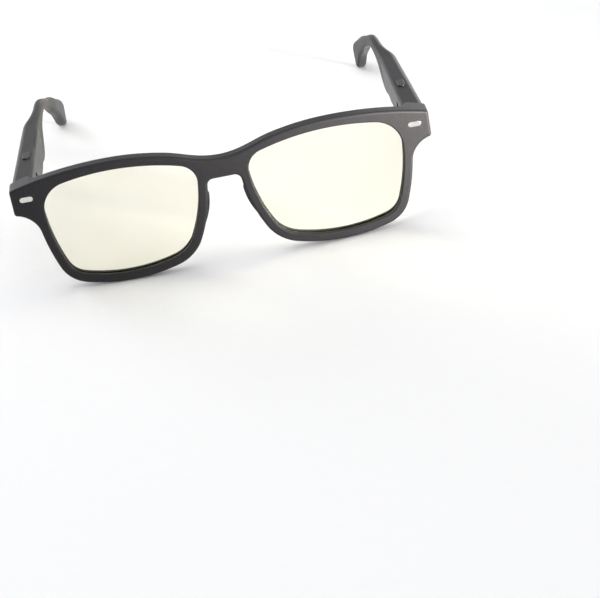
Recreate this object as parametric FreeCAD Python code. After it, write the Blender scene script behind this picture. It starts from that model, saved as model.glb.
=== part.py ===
# Audio smart glasses: a matte moulded front with two clear lenses, and two folding
# temples whose front halves are hollow housings for the electronics.
#
# Everything is drawn in the front's own upright frame: X across the face, Y from the
# front back towards the ears, Z up, with the bottom of the rims at zero. The wearer's
# left is +X. At the end the whole assembly is leaned back until the ear tips reach the
# table, which is how open glasses stand.
import FreeCAD, Part
import math
import os

Vector = FreeCAD.Vector
os.makedirs("parts", exist_ok=True)

# ---------------------------------------------------------------- driving dimensions
leaning_tries = 6            # each brings the ear tips nearer to the table

# front
lens_width = 51.0            # visible opening of one rim
lens_height = 37.1
bridge_gap = 17.1            # between the two openings
rim_width = 3.1              # width of the rim round the opening
end_piece_reach = 6.85       # how far the end pieces stand out beyond the rims
front_depth = 4.2            # thickness of the front, front to back
front_curve = 500.0          # radius of the front seen from above
bridge_dip = 5.7             # from the top of the rims down to the middle of the bridge
bridge_height = 6.9
bridge_corner = 2.2          # radius where the bridge meets the nose side of a rim
brow_reach = 17.0            # how far the brow follows the rim before it dips to the bridge
end_piece_dip = 5.4          # from the top of the rims down to the end piece's upper corner
end_piece_height = 9.0
end_piece_back = 11.5        # where the temple butts against it
end_piece_wall = 7.2         # thickness of the end piece, side to side
end_piece_scoop = 8.1        # radius of the hollow under the end piece
end_piece_corner = 1.0       # radius of its two outer corners
front_rounding = 0.9         # softened edges of the front face
rear_rounding = 0.45
opening_rounding = 0.45

# rounded corners of a rim opening, clockwise from the upper outer one:
# radius, then how far the corner circle stands in from the opening's box
lens_corner_radius = (10.1, 7.3, 12.0, 6.4)
lens_corner_side = (0.0, 3.3, 3.9, 0.0)
lens_corner_level = (1.7, 1.4, 1.9, 2.6)
# long sides of a rim opening: outer, bottom, nose side, top
lens_side_radius = (63.7, 55.8, 51.3, 78.3)

# lens
lens_thickness = 2.0
lens_bevel = 0.7             # how far the lens runs into the groove
lens_front_wall = 1.2        # frame in front of the lens
seat_clearance = 0.05

# moulded nose pads
nose_pad_radius = 6.5
nose_pad_thickness = 3.0
nose_pad_edge = 0.8          # radius of the pad's thin edge
nose_pad_lift = 16.9         # middle of the pad above the bottom of the opening
nose_pad_reach = 4.7         # how far it stands behind the rims
nose_pad_lean = 17.9         # follows the nose side of the rim downwards and outwards
nose_pad_flare = 9.0         # opens towards the face
nose_pad_swell = 0.5         # how far it stands in from the rim, towards the nose

# decorative pin plates on the end pieces
pin_plate_length = 4.4
pin_plate_height = 1.8
pin_plate_inset = 5.1        # from the outer side of the front
pin_plate_drop = 3.3         # below the end piece's upper corner
pin_plate_proud = 0.25
pin_plate_sunk = 0.5

# hinge
hinge_gap = 0.3              # between end piece and temple
hinge_inset = 0.6            # axis inboard of the temple's inner face
hinge_lift = 0.9             # barrel's lower end above the end piece's lower edge
hinge_height = 6.4
hinge_radius = 1.4
hinge_middle = 2.4           # length of the temple's knuckle
hinge_play = 0.1             # between knuckles, along the axis
hinge_screw_radius = 0.7
hinge_running_fit = 0.05
hinge_relief = 0.25          # moulded clearance round the barrel
leaf_thickness = 0.9
frame_leaf_length = 4.2
temple_leaf_length = 6.4
temple_leaf_height = 5.2
leaf_screw_shares = (0.46, 0.84)     # places along the temple's leaf
leaf_screw_radius = 0.5
leaf_screw_head = 0.85
leaf_screw_length = 2.4
hinge_screw_head = 1.1
hinge_screw_head_height = 0.6
hinge_screw_slot = 0.3       # width and depth of the slot

# temple, measured back from the hinge axis
housing_length = 62.0
housing_step = 1.0           # upper edge below the end piece's
housing_front_height = 7.9
housing_fall = 3.9           # drop of the upper edge along the housing
housing_chin_height = 12.0   # from the upper edge's front end down to the chin
housing_chin_at = 7.5
housing_rear_height = 11.8
speaker_bulge = 0.8          # the speaker chamber hangs this much below the lower edge
speaker_chamber = 9.5        # length of that chamber
outlet_share = 0.42          # middle of its sound outlet, from the rear
housing_front_width = 7.2
housing_rear_width = 5.8
wall = 1.2                   # outer wall of the housing
cover_thickness = 1.2
cover_start = 8.0
cover_end_margin = 0.6       # from the covers' rear end to the end of the housing
cover_margin = 1.2           # rim of housing left round the covers
cover_ledge = 0.7            # what they sit on
cover_gap = 0.06
cover_split = 41.0           # joint between the two inner covers
cover_corner = 1.6
arm_drop = 2.5               # middle of the arm below the housing's rear top
arm_width = 3.8              # side to side
arm_length = 64.2            # from the housing to the middle of the ear tip
ear_tip_drop = 19.1          # from there down to the middle of the ear tip
ear_tip_radius = 5.0
ear_tip_inset = 4.4          # the ear tips bend in towards the head by this much
ear_tip_bend = 1.25          # above 1, the bend tightens towards the tip
ear_tip_roll = 0.4           # more inset over its round end
ear_tip_slimming = 0.3       # share of the arm's width lost on each side at the very end
inner_rounding = 0.9         # edges that lie against the head
outer_rounding = 1.8
arm_rounding = 1.6
fullest_round = 0.92         # corners take up at most this share of a section's half
neck_length = 16.0           # from the housing to the slim part of the arm
neck_height = 3.9            # height of the arm there
# the neck: share of its length, share of the rise of its lower edge
neck_stations = ((0.12, 0.07), (0.37, 0.42), (0.66, 0.82), (1.0, 1.0))
# the arm between housing and ear tip: share of the way, share of the drop, share of the tip's height
arm_stations = ((0.38, 0.02, 0.37), (0.54, 0.17, 0.41), (0.72, 0.43, 0.56), (0.88, 0.72, 0.72))
# the ear tip's round end: share of its radius beyond its centre, share of its height
ear_tip_cap = ((0.45, 0.93), (0.75, 0.72), (0.93, 0.42), (1.0, 0.12))

# charging contacts in the inner cover
contact_panel_length = 12.2
contact_panel_height = 5.4
contact_panel_at = 16.8      # behind the hinge axis
contact_panel_drop = 7.6     # below the front end of the housing's upper edge
contact_panel_sunk = 0.35    # its face below the cover's
contact_panel_thickness = 1.25
contact_radius = 0.95
contact_spacing = 3.1
contact_pin_length = 2.6
contact_chamfer = 0.25       # round the pins' heads
magnet_radius = 1.5
magnet_thickness = 1.2
magnet_spacing = 8.6
status_light_radius = 0.5
status_light_at = 26.5

# multifunction key on the upper edge
key_at = 28.5
key_length = 7.0
key_width = 2.6
key_proud = 0.5
key_travel = 0.35
key_flange = 0.6             # how far the flange reaches beyond the key
key_flange_thickness = 0.6
key_side_gap = 0.1
key_play = 0.1
switch_length = 4.4
switch_width = 3.0
switch_height = 1.3
plunger_radius = 0.8

# speaker outlet and microphone in the lower edge
outlet_length = 6.2
outlet_width = 2.2
outlet_lip = 0.5
mesh_thickness = 0.5
mesh_sunk = 0.35
microphone_at = 12.0
microphone_hole_radius = 0.5
microphone_length = 2.6
microphone_height = 0.9

# insides
board_front = 9.2
board_length = 23.4
board_drop = 2.2             # lower edge below the middle of the contact panel
board_height = 5.2
board_thickness = 0.8
board_gap = 0.1              # between the magnets and the board
notch_depth = 1.9            # room for the switch in the board's upper edge
chip_thickness = 0.9
chip_margin = 0.7            # from the board's lower edge
radio_length = 4.2
radio_height = 3.8
charger_length = 3.0
codec_length = 2.4
chip_gap = 1.6               # between the parts on the board
battery_front = 34.6
battery_gap = 1.6            # between cell and speaker
battery_lift = 3.8           # above the housing's rear foot
battery_height = 6.4
battery_thickness = 3.0
battery_rounding = 0.6
speaker_length = 7.6
speaker_height = 6.2
speaker_thickness = 2.6
speaker_lift = 2.4           # above the housing's rear foot
flex_thickness = 0.2
flex_height = 2.6
flex_overhang = 1.0          # beyond each end of the cell
inner_play = 0.1

# metal core of the arm
core_height = 1.0
core_width = 1.2

# ---------------------------------------------------------------- places worked out from them
front_width = bridge_gap + 2 * (lens_width + rim_width + end_piece_reach)
inner_x = front_width / 2 - end_piece_wall
hinge_x = inner_x - hinge_inset
hinge_y = end_piece_back + hinge_gap / 2
lens_left = bridge_gap / 2
lens_right = lens_left + lens_width
lens_bottom = rim_width
lens_top = lens_bottom + lens_height
rim_top = lens_top + rim_width
bridge_top = rim_top - bridge_dip
bridge_underside = bridge_top - bridge_height
end_piece_top = rim_top - end_piece_dip
end_piece_foot = end_piece_top - end_piece_height
nose_pad_level = lens_bottom + nose_pad_lift
pin_plate_level = end_piece_top - pin_plate_drop
hinge_foot = end_piece_foot + hinge_lift
housing_front_top = end_piece_top - housing_step
housing_front_foot = housing_front_top - housing_front_height
housing_rear_top = housing_front_top - housing_fall
housing_chin = housing_front_top - housing_chin_height
housing_rear_foot = housing_rear_top - housing_rear_height
arm_level = housing_rear_top - arm_drop
ear_tip_at = housing_length + arm_length
ear_tip_level = arm_level - ear_tip_drop
contact_panel_level = housing_front_top - contact_panel_drop
board_foot = contact_panel_level - board_drop
battery_foot = housing_rear_foot + battery_lift
speaker_foot = housing_rear_foot + speaker_lift
cover_end = housing_length - cover_end_margin
speaker_end = cover_end - cover_ledge - inner_play
battery_length = speaker_end - speaker_length - battery_gap - battery_front
KNEE = 1 - math.sqrt(0.5)    # middle of a quarter circle, as a share of its radius
TALL = 200.0                 # longer than anything that is cut through


# ---------------------------------------------------------------- drawing helpers
def flat(x, z):
    return Vector(x, 0, z)


def along(start, end, distance):
    step = end - start
    return start + step * (distance / step.Length)


def circles_meet(centre_a, radius_a, centre_b, radius_b, side):
    """Crossing of two circles; side picks the one left (1) or right (-1) of the way from a to b."""
    way = centre_b - centre_a
    span = way.Length
    reach = (span ** 2 + radius_a ** 2 - radius_b ** 2) / (2 * span)
    height = math.sqrt(max(radius_a ** 2 - reach ** 2, 0.0))
    way = way * (1 / span)
    across = Vector(-way.z, 0, way.x) * side
    return centre_a + way * reach + across * height


def arc(centre, start, end):
    """The short arc from start to end round centre."""
    middle = along(centre, (start + end) * 0.5, (start - centre).Length)
    return Part.Arc(start, middle, end).toShape()


def line(start, end):
    return Part.makeLine(start, end)


def smooth(points, first=None, last=None):
    curve = Part.BSplineCurve()
    if first is None:
        curve.interpolate(Points=points)
    else:
        curve.interpolate(Points=points, InitialTangent=first, FinalTangent=last)
    return curve.toShape()


def face_of(edges):
    return Part.Face(Part.Wire(Part.__sortEdges__(edges)))


def mirrored(shape):
    return shape.mirror(Vector(0, 0, 0), Vector(1, 0, 0))


def through(face, start, depth):
    """A prism of an XZ outline from one depth to a further one."""
    prism = face.extrude(Vector(0, depth, 0))
    prism.translate(Vector(0, start, 0))
    return prism


def box(x0, x1, y0, y1, z0, z1):
    return Part.makeBox(x1 - x0, y1 - y0, z1 - z0, Vector(x0, y0, z0))


def upright(x, y, z, radius, height):
    return Part.makeCylinder(radius, height, Vector(x, y, z), Vector(0, 0, 1))


def rounded(shape, radius, wanted):
    """Round the edges for which wanted(edge) holds."""
    edges = [edge for edge in shape.Edges if wanted(edge)]
    return shape.makeFillet(radius, edges)


# ---------------------------------------------------------------- rim opening
def lens_corners():
    sides = (lens_right, lens_right, lens_left, lens_left)
    levels = (lens_top, lens_bottom, lens_bottom, lens_top)
    inward = ((-1, -1), (-1, 1), (1, 1), (1, -1))
    corners = []
    for i in range(4):
        radius = lens_corner_radius[i]
        x = sides[i] + inward[i][0] * (radius + lens_corner_side[i])
        z = levels[i] + inward[i][1] * (radius + lens_corner_level[i])
        corners.append(flat(x, z))
    return corners


def lens_side_centres():
    corners = lens_corners()
    centres = []
    for i in range(4):
        after = (i + 1) % 4
        reach = lens_side_radius[i] - lens_corner_radius[i]
        reach_after = lens_side_radius[i] - lens_corner_radius[after]
        centres.append(circles_meet(corners[i], reach, corners[after], reach_after, -1))
    return centres


def side_point(side, corner, offset):
    """Where a long side meets a corner, for the opening grown by offset."""
    centre = lens_side_centres()[side]
    return along(centre, lens_corners()[corner], lens_side_radius[side] + offset)


def lens_outline(offset):
    corners = lens_corners()
    centres = lens_side_centres()
    edges = []
    for i in range(4):
        before = (i - 1) % 4
        after = (i + 1) % 4
        edges.append(arc(corners[i], side_point(before, i, offset), side_point(i, i, offset)))
        edges.append(arc(centres[i], side_point(i, i, offset), side_point(i, after, offset)))
    return face_of(edges)


# ---------------------------------------------------------------- front frame
def front_outline():
    """Half of the front: brow, end piece, round the rim and up the nose side to the bridge."""
    corners = lens_corners()
    centres = lens_side_centres()
    top_radius = lens_side_radius[3] + rim_width
    outer_radius = lens_side_radius[0] + rim_width
    nose_radius = lens_side_radius[2] + rim_width

    apex = centres[3] + flat(0, top_radius)
    dip_end = apex.x - brow_reach
    fall = math.sqrt(top_radius ** 2 - brow_reach ** 2)
    brow_start = flat(dip_end, centres[3].z + fall)
    slope = Vector(fall, 0, brow_reach) * (1 / top_radius)
    middle = flat(0, bridge_top)
    dip = smooth([middle, brow_start], Vector(1, 0, 0), slope)

    corner = flat(front_width / 2, end_piece_top)
    run = corner.x - apex.x
    drop = apex.z - corner.z
    brow_radius = (run ** 2 + drop ** 2) / (2 * drop)
    brow_centre = apex - flat(0, brow_radius)

    foot = flat(front_width / 2, end_piece_foot)
    scoop_centre = circles_meet(centres[0], outer_radius + end_piece_scoop, foot, end_piece_scoop, -1)
    scoop_end = along(centres[0], scoop_centre, outer_radius)

    rounding_x = corner.x - end_piece_corner
    upper_fall = math.sqrt((brow_radius - end_piece_corner) ** 2 - (rounding_x - brow_centre.x) ** 2)
    upper_rounding = flat(rounding_x, brow_centre.z + upper_fall)
    lower_rise = math.sqrt((end_piece_scoop + end_piece_corner) ** 2 - (rounding_x - scoop_centre.x) ** 2)
    lower_rounding = flat(rounding_x, scoop_centre.z + lower_rise)
    brow_end = along(brow_centre, upper_rounding, brow_radius)
    scoop_start = along(scoop_centre, lower_rounding, end_piece_scoop)
    side_top = upper_rounding + flat(end_piece_corner, 0)
    side_foot = lower_rounding + flat(end_piece_corner, 0)

    fillet_level = bridge_underside - bridge_corner
    reach = math.sqrt((nose_radius + bridge_corner) ** 2 - (fillet_level - centres[2].z) ** 2)
    fillet_centre = flat(centres[2].x - reach, fillet_level)
    nose_end = along(centres[2], fillet_centre, nose_radius)
    fillet_top = fillet_centre + flat(0, bridge_corner)

    half = [
        dip,
        arc(centres[3], brow_start, apex),
        arc(brow_centre, apex, brow_end),
        arc(upper_rounding, brow_end, side_top),
        line(side_top, side_foot),
        arc(lower_rounding, side_foot, scoop_start),
        arc(scoop_centre, scoop_start, scoop_end),
        arc(centres[0], scoop_end, side_point(0, 1, rim_width)),
        arc(corners[1], side_point(0, 1, rim_width), side_point(1, 1, rim_width)),
        arc(centres[1], side_point(1, 1, rim_width), side_point(1, 2, rim_width)),
        arc(corners[2], side_point(1, 2, rim_width), side_point(2, 2, rim_width)),
        arc(centres[2], side_point(2, 2, rim_width), nose_end),
        arc(fillet_centre, nose_end, fillet_top),
        line(fillet_top, flat(0, bridge_underside)),
    ]
    return face_of(half + [mirrored(edge) for edge in half])


def curved_layer(front, back):
    """The slab between two depths that follows the curve of the front."""
    axis_y = front_curve
    outer = upright(0, axis_y, -TALL / 2, front_curve - front, TALL)
    inner = upright(0, axis_y, -TALL / 2, front_curve - back, TALL)
    near = box(-TALL, TALL, -TALL, TALL, -TALL / 2, TALL / 2)
    return outer.cut(inner).common(near)


def front_blank():
    """The face-curved slab with its two end pieces, before anything is cut out of it."""
    outline = through(front_outline(), -1, end_piece_back + 2)
    slab = outline.common(curved_layer(0, front_depth)).removeSplitter()
    slab = rounded(slab, rear_rounding, lambda edge: on_layer(edge, front_depth))
    bar = upright(0, front_curve, -TALL / 2, front_curve, TALL)
    end_piece = outline.common(bar).common(box(inner_x, TALL, -TALL, end_piece_back, -TALL / 2, TALL / 2))
    blank = slab.fuse([end_piece, mirrored(end_piece)]).removeSplitter()
    return rounded(blank, front_rounding, lambda edge: on_layer(edge, 0))


def lies_across(edge):
    """An edge that runs round the front rather than through its thickness."""
    ends = edge.Vertexes
    return len(ends) < 2 or abs(ends[0].Point.y - ends[-1].Point.y) < 1 or edge.Length > 2 * front_depth


def on_layer(edge, depth):
    if not lies_across(edge):
        return False
    for share in (0, 0.5, 1):
        spot = edge.valueAt(edge.FirstParameter + share * (edge.LastParameter - edge.FirstParameter))
        if abs(math.hypot(spot.x, spot.y - front_curve) - (front_curve - depth)) > 0.02:
            return False
    return True


def nose_pad():
    """A moulded pad: a disc crowned on both sides, standing behind the nose side of a rim."""
    half = nose_pad_thickness / 2
    rim = nose_pad_radius - nose_pad_edge
    crown = (rim ** 2 + half ** 2 - nose_pad_edge ** 2) / (nose_pad_thickness - 2 * nose_pad_edge)
    touch_radius = rim + nose_pad_edge * rim / (crown - nose_pad_edge)
    touch_height = nose_pad_edge * (crown - half) / (crown - nose_pad_edge)
    middle_radius = touch_radius / 2
    middle_height = half - crown + math.sqrt(crown ** 2 - middle_radius ** 2)
    profile = Part.Face(Part.Wire([
        Part.Arc(Vector(half, 0, 0), Vector(middle_height, middle_radius, 0),
                 Vector(touch_height, touch_radius, 0)).toShape(),
        Part.Arc(Vector(touch_height, touch_radius, 0), Vector(0, nose_pad_radius, 0),
                 Vector(-touch_height, touch_radius, 0)).toShape(),
        Part.Arc(Vector(-touch_height, touch_radius, 0), Vector(-middle_height, middle_radius, 0),
                 Vector(-half, 0, 0)).toShape(),
        line(Vector(-half, 0, 0), Vector(half, 0, 0)),
    ]))
    pad = profile.revolve(Vector(0, 0, 0), Vector(1, 0, 0), 360)
    pad.rotate(Vector(0, 0, 0), Vector(0, 1, 0), -nose_pad_lean)
    pad.rotate(Vector(0, 0, 0), Vector(0, 0, 1), -nose_pad_flare)
    nose_centre = lens_side_centres()[2]
    nose_radius = lens_side_radius[2] + rim_width
    nose_edge = nose_centre.x - math.sqrt(nose_radius ** 2 - (nose_pad_level - nose_centre.z) ** 2)
    pad.translate(Vector(nose_edge + half - nose_pad_swell, front_depth + nose_pad_reach - nose_pad_radius,
                         nose_pad_level))
    pad = pad.cut(box(-TALL, TALL, -TALL, front_depth / 2, -TALL, TALL))
    return pad.cut(through(lens_outline(0), -1, front_depth + 1))


def hinge_axis_shape(radius, foot, top):
    return upright(hinge_x, hinge_y, foot, radius, top - foot)


def frame_leaf_box():
    """The leaf let into the inner wall of the end piece."""
    front = end_piece_back - frame_leaf_length
    return box(inner_x - 1.0, inner_x + leaf_thickness, front, end_piece_back,
               hinge_foot, hinge_foot + hinge_height)


def pin_plate_at(depth_from, depth_to, grow):
    """A small bar with rounded ends, lying on the curve of the end piece."""
    x = front_width / 2 - pin_plate_inset
    half = pin_plate_length / 2 + grow
    radius = pin_plate_height / 2 + grow
    left = flat(x - half + radius, pin_plate_level)
    right = flat(x + half - radius, pin_plate_level)
    up = flat(0, radius)
    edges = [
        line(left + up, right + up),
        Part.Arc(right + up, right + flat(radius, 0), right - up).toShape(),
        line(right - up, left - up),
        Part.Arc(left - up, left - flat(radius, 0), left + up).toShape(),
    ]
    surface_y = front_curve - math.sqrt(front_curve ** 2 - x ** 2)
    return through(face_of(edges), surface_y + depth_from, depth_to - depth_from)


def front_frame():
    blank = front_blank()
    opening = through(lens_outline(0), -1, end_piece_back + 2)
    blank = blank.cut(opening).cut(mirrored(opening))
    inside = lens_outline(0.2).BoundBox
    blank = rounded(blank, opening_rounding, lambda edge: on_layer(edge, 0)
                    and inside.XMin < abs(edge.CenterOfMass.x) < inside.XMax
                    and inside.ZMin < edge.CenterOfMass.z < inside.ZMax)
    pad = nose_pad()
    blank = blank.fuse([pad, mirrored(pad)])
    groove = through(lens_outline(lens_bevel), -1, end_piece_back + 2)
    groove = groove.common(curved_layer(lens_front_wall, lens_front_wall + lens_thickness + 2 * seat_clearance))
    relief = hinge_axis_shape(hinge_radius + hinge_relief, hinge_foot - hinge_relief, TALL / 2)
    tools = [groove, relief, frame_leaf_box(), pin_plate_at(-2, pin_plate_sunk, seat_clearance)]
    for tool in tools:
        blank = blank.cut(tool).cut(mirrored(tool))
    return blank


def lens():
    lens_face = lens_outline(lens_bevel - seat_clearance)
    layer = curved_layer(lens_front_wall + seat_clearance, lens_front_wall + seat_clearance + lens_thickness)
    return through(lens_face, -1, end_piece_back + 2).common(layer).Solids[0]


def pin_plate():
    plate = pin_plate_at(-pin_plate_proud, pin_plate_sunk, 0)
    return rounded(plate, pin_plate_proud * 0.6, lambda edge: edge.CenterOfMass.y < plate.BoundBox.YMin + 0.01)


# ---------------------------------------------------------------- temple: left one, at +X
def side(distance, level):
    """A point of the temple's side view: distance behind the hinge axis, and height."""
    return Vector(0, hinge_y + distance, level)


def top_line(distance):
    """Height of the housing's upper edge."""
    return housing_front_top + (housing_rear_top - housing_front_top) * distance / housing_length


def foot_line(distance):
    """Height of the housing's lower edge behind its chin."""
    run = housing_length - housing_chin_at
    return housing_chin + (housing_rear_foot - housing_chin) * (distance - housing_chin_at) / run


def arm_middle():
    """Centre line of the arm and half its height, from the housing to the ear tip."""
    stations = []
    for way, drop, size in arm_stations:
        stations.append((housing_length + way * arm_length, arm_level - drop * ear_tip_drop,
                         size * ear_tip_radius))
    stations.append((ear_tip_at, ear_tip_level, ear_tip_radius))
    return stations


def section(middle, up, half_height, inner, outer, inner_radius, outer_radius):
    """A rounded rectangle across the temple: middle gives its place along the side view."""
    spread = half_height * fullest_round
    depth = (outer - inner) / 2 * fullest_round
    inner_round = min(inner_radius, spread, depth)
    outer_round = min(outer_radius, spread, depth)
    corners = ((inner, 1, inner_round), (outer, 1, outer_round),
               (outer, -1, outer_round), (inner, -1, inner_round))
    edges = []
    spots = []
    for x, way, radius in corners:
        inward = radius if x == inner else -radius
        level = half_height * way
        beside = middle + Vector(x, 0, 0) + up * (level - way * radius)
        above = middle + Vector(x + inward, 0, 0) + up * level
        knee = middle + Vector(x + inward * KNEE, 0, 0) + up * (level - way * radius * KNEE)
        first, last = (beside, above) if (x == inner) == (way == 1) else (above, beside)
        spots.append((first, knee, last))
    for i in range(4):
        edges.append(Part.Arc(spots[i][0], spots[i][1], spots[i][2]).toShape())
        edges.append(line(spots[i][2], spots[(i + 1) % 4][0]))
    return Part.Wire(edges)


def inset_at(distance):
    """How far the arm has bent in towards the head at a distance behind the hinge."""
    share = max(0.0, (distance - housing_length) / arm_length)
    return ear_tip_inset * share ** ear_tip_bend


def housing_width(distance):
    taper = (housing_rear_width - housing_front_width) * distance / housing_length
    return housing_front_width + taper


def housing_sections():
    """Upright sections of the housing: distance, upper edge, lower edge."""
    start = hinge_gap / 2
    chamber = housing_length - speaker_chamber
    low = foot_line(housing_length) - speaker_bulge
    spans = []
    for share in (0, 0.25, 0.55, 1.0):
        distance = start + (housing_chin_at - start) * share
        drop = math.sin(share * math.pi / 2) * (housing_front_foot - housing_chin)
        spans.append((distance, top_line(distance), housing_front_foot - drop))
    for share in (0.1, 0.23, 0.38, 0.54, 0.7, 0.85, 1.0):
        distance = housing_chin_at + (chamber - housing_chin_at) * share
        spans.append((distance, top_line(distance), foot_line(distance)))
    for share, sag in ((0.35, 0.75), (0.65, 1.0), (0.9, 1.0)):
        distance = chamber + speaker_chamber * share
        spans.append((distance, top_line(distance), foot_line(distance) - sag * speaker_bulge))
    neck_top = arm_level + neck_height / 2
    neck_foot = arm_level - neck_height / 2
    for share, rise in neck_stations:
        upper = housing_rear_top + (neck_top - housing_rear_top) * share
        spans.append((housing_length + share * neck_length, upper, low + (neck_foot - low) * rise))
    return spans


def temple_outer_x(distance):
    """The outer face: tapering along the housing, then drawn in to the arm."""
    if distance <= housing_length:
        return inner_x + housing_width(distance)
    share = min(1.0, (distance - housing_length) / neck_length)
    blend = share * share * (3 - 2 * share)
    width = housing_rear_width + (arm_width - housing_rear_width) * blend
    return inner_x - inset_at(distance) + width


def temple_blank():
    wires = []
    for distance, upper, lower in housing_sections():
        middle = side(distance, (upper + lower) / 2)
        inner = inner_x - inset_at(distance)
        wires.append(section(middle, Vector(0, 0, 1), (upper - lower) / 2, inner, temple_outer_x(distance),
                             inner_rounding, outer_rounding))
    stations = arm_middle()
    neck_end = (housing_length + neck_length, arm_level, neck_height / 2)
    for i in range(len(stations)):
        distance, level, half = stations[i]
        before = stations[i - 1] if i > 0 else neck_end
        after = stations[min(i + 1, len(stations) - 1)]
        run = after[0] - before[0]
        rise = after[1] - before[1]
        length = math.hypot(run, rise)
        up = Vector(0, -rise / length, run / length)
        inner = inner_x - inset_at(distance)
        wires.append(section(side(distance, level), up, half, inner, inner + arm_width,
                             arm_rounding, arm_rounding))
    ahead = Vector(0, up.z, -up.y)
    for share, size in ear_tip_cap:
        spot = side(ear_tip_at, ear_tip_level) + ahead * (share * ear_tip_radius)
        inner = inner_x - inset_at(ear_tip_at) - share * ear_tip_roll
        slim = (1 - size) * arm_width * ear_tip_slimming
        wires.append(section(spot, up, size * ear_tip_radius, inner + slim, inner + arm_width - slim,
                             arm_rounding, arm_rounding))
    return Part.makeLoft(wires, True, False)


def side_panel(start, end, margin, corner):
    """A rounded panel that follows the housing's edges, as an outline in the side view."""
    corners = [
        side(start, foot_line(start) + margin),
        side(end, foot_line(end) + margin),
        side(end, top_line(end) - margin),
        side(start, top_line(start) - margin),
    ]
    edges = []
    for i in range(4):
        here = corners[i]
        before = (corners[i - 1] - here).normalize()
        after = (corners[(i + 1) % 4] - here).normalize()
        arc_start = here + before * corner
        arc_end = here + after * corner
        knee = here + (before + after) * (corner * KNEE)
        edges.append(Part.Arc(arc_start, knee, arc_end).toShape())
        next_corner = corners[(i + 1) % 4]
        edges.append(line(arc_end, next_corner - after * corner))
    return Part.Face(Part.Wire(edges))


def sideways(face, x0, x1):
    """A prism of a side-view outline between two distances across the temple."""
    prism = face.extrude(Vector(x1 - x0, 0, 0))
    prism.translate(Vector(x0, 0, 0))
    return prism


def pill(distance, level, length, height):
    """A side-view outline with round ends."""
    radius = height / 2
    front = side(distance - length / 2 + radius, level)
    back = side(distance + length / 2 - radius, level)
    up = Vector(0, 0, radius)
    ahead = Vector(0, radius, 0)
    return Part.Face(Part.Wire([
        line(front + up, back + up),
        Part.Arc(back + up, back + ahead, back - up).toShape(),
        line(back - up, front - up),
        Part.Arc(front - up, front - ahead, front + up).toShape(),
    ]))


def across(distance, level, radius, x0, x1):
    """A round pin lying across the temple."""
    return Part.makeCylinder(radius, x1 - x0, side(distance, level) + Vector(x0, 0, 0), Vector(1, 0, 0))


def block(distance, length, level, height, x0, x1):
    return box(x0, x1, hinge_y + distance, hinge_y + distance + length, level, level + height)


def housing_cavity():
    start = cover_start + cover_ledge
    end = cover_end - cover_ledge
    room = sideways(side_panel(start, end, cover_margin + cover_ledge, cover_corner), inner_x, inner_x + TALL)
    outer_start = inner_x + housing_width(start) - wall
    outer_end = inner_x + housing_width(end) - wall
    plan = [
        Vector(inner_x - 1, hinge_y + start, 0),
        Vector(outer_start, hinge_y + start, 0),
        Vector(outer_end, hinge_y + end, 0),
        Vector(inner_x - 1, hinge_y + end, 0),
    ]
    wedge = Part.Face(Part.makePolygon(plan + [plan[0]])).extrude(Vector(0, 0, TALL))
    return room.common(wedge)


def on_upper_edge(shape, distance):
    """Seat a shape drawn at the origin, +Z outward, on the housing's upper edge."""
    slope = math.degrees(math.atan2(housing_rear_top - housing_front_top, housing_length))
    placed = shape.copy()
    placed.rotate(Vector(0, 0, 0), Vector(1, 0, 0), slope)
    placed.translate(Vector(key_middle_x(), hinge_y + distance, top_line(distance)))
    return placed


def on_lower_edge(shape, x, distance, sag):
    """Seat a shape drawn at the origin, -Z outward, on the housing's lower edge."""
    run = housing_length - housing_chin_at
    slope = math.degrees(math.atan2(housing_rear_foot - housing_chin, run))
    placed = shape.copy()
    placed.rotate(Vector(0, 0, 0), Vector(1, 0, 0), slope)
    placed.translate(Vector(x, hinge_y + distance, foot_line(distance) - sag))
    return placed


def key_middle_x():
    return inner_x + (housing_width(key_at) + inner_rounding - outer_rounding) / 2


def oval(length, width, z0, z1):
    """An upright oval block centred on the origin, long side front to back."""
    radius = width / 2
    straight = length / 2 - radius
    edges = [
        line(Vector(radius, -straight, z0), Vector(radius, straight, z0)),
        Part.Arc(Vector(radius, straight, z0), Vector(0, straight + radius, z0),
                 Vector(-radius, straight, z0)).toShape(),
        line(Vector(-radius, straight, z0), Vector(-radius, -straight, z0)),
        Part.Arc(Vector(-radius, -straight, z0), Vector(0, -straight - radius, z0),
                 Vector(radius, -straight, z0)).toShape(),
    ]
    return Part.Face(Part.Wire(edges)).extrude(Vector(0, 0, z1 - z0))


def outlet_at():
    return housing_length - speaker_chamber * outlet_share


def outlet_x():
    return inner_x + (housing_width(outlet_at()) + inner_rounding - outer_rounding) / 2


def arm_core():
    """The metal strip inside the arm, from the neck nearly to the ear tip."""
    wires = []
    stations = [(housing_length + neck_length, arm_level, neck_height / 2)] + arm_middle()[:-1]
    for i in range(len(stations)):
        distance, level, _ = stations[i]
        before = stations[max(i - 1, 0)]
        after = stations[min(i + 1, len(stations) - 1)]
        length = math.hypot(after[0] - before[0], after[1] - before[1])
        up = Vector(0, -(after[1] - before[1]) / length, (after[0] - before[0]) / length)
        inner = inner_x - inset_at(distance) + (arm_width - core_width) / 2
        across_strip = (inner, inner + core_width, inner + core_width, inner, inner)
        over_strip = (1, 1, -1, -1, 1)
        wires.append(Part.makePolygon([side(distance, level) + Vector(x, 0, 0) + up * (way * core_height / 2)
                                       for x, way in zip(across_strip, over_strip)]))
    return Part.makeLoft(wires, True, False)


def temple_leaf_recess():
    foot = hinge_foot + (hinge_height - temple_leaf_height) / 2
    return block(0, temple_leaf_length, foot, temple_leaf_height, inner_x - 1, inner_x + leaf_thickness)


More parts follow.
